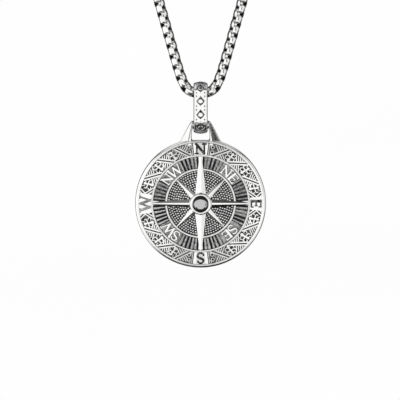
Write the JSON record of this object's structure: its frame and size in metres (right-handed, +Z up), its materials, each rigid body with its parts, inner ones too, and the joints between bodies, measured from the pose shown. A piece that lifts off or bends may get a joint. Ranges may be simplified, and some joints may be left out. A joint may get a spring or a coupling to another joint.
{
  "type": "compass pendant necklace",
  "caption": "Silver pendant in the form of a compass with a raised star, a black stone and engraved letters, hanging from a long engraved bail on a box chain.",
  "frame": {"origin": "point on the nape of the neck where the clasp rests", "axes": "+Z up, -Y to the front of the wearer, where the pendant hangs, +X to the right of someone who looks at the pendant"},
  "size_m": [0.1072, 0.1026, 0.2422],
  "materials": {
    "cast_silver": "polished cast silver, darkened in the recesses",
    "bright_silver": "polished silver",
    "black_stone": "polished, faceted"
  },
  "bodies": {
    "chain": {"chain": "bright_silver", "clasp": "bright_silver", "clasp_ring": "bright_silver", "hook_ring": "bright_silver"},
    "bail": {"bail": "cast_silver"},
    "pendant": {"medallion": "cast_silver", "compass_rose": "bright_silver", "stone_setting": "bright_silver", "stone": "black_stone"}
  },
  "joints": [
    {"name": "bail_swing", "type": "hinge", "parent": "chain", "child": "bail", "pos_m": [0, -0.096, -0.19195], "axis": [1, 0, 0], "range_deg": [-75, 75]},
    {"name": "pendant_swing", "type": "hinge", "parent": "bail", "child": "pendant", "pos_m": [0, -0.096, -0.2007], "axis": [1, 0, 0], "range_deg": [-60, 60]}
  ]
}
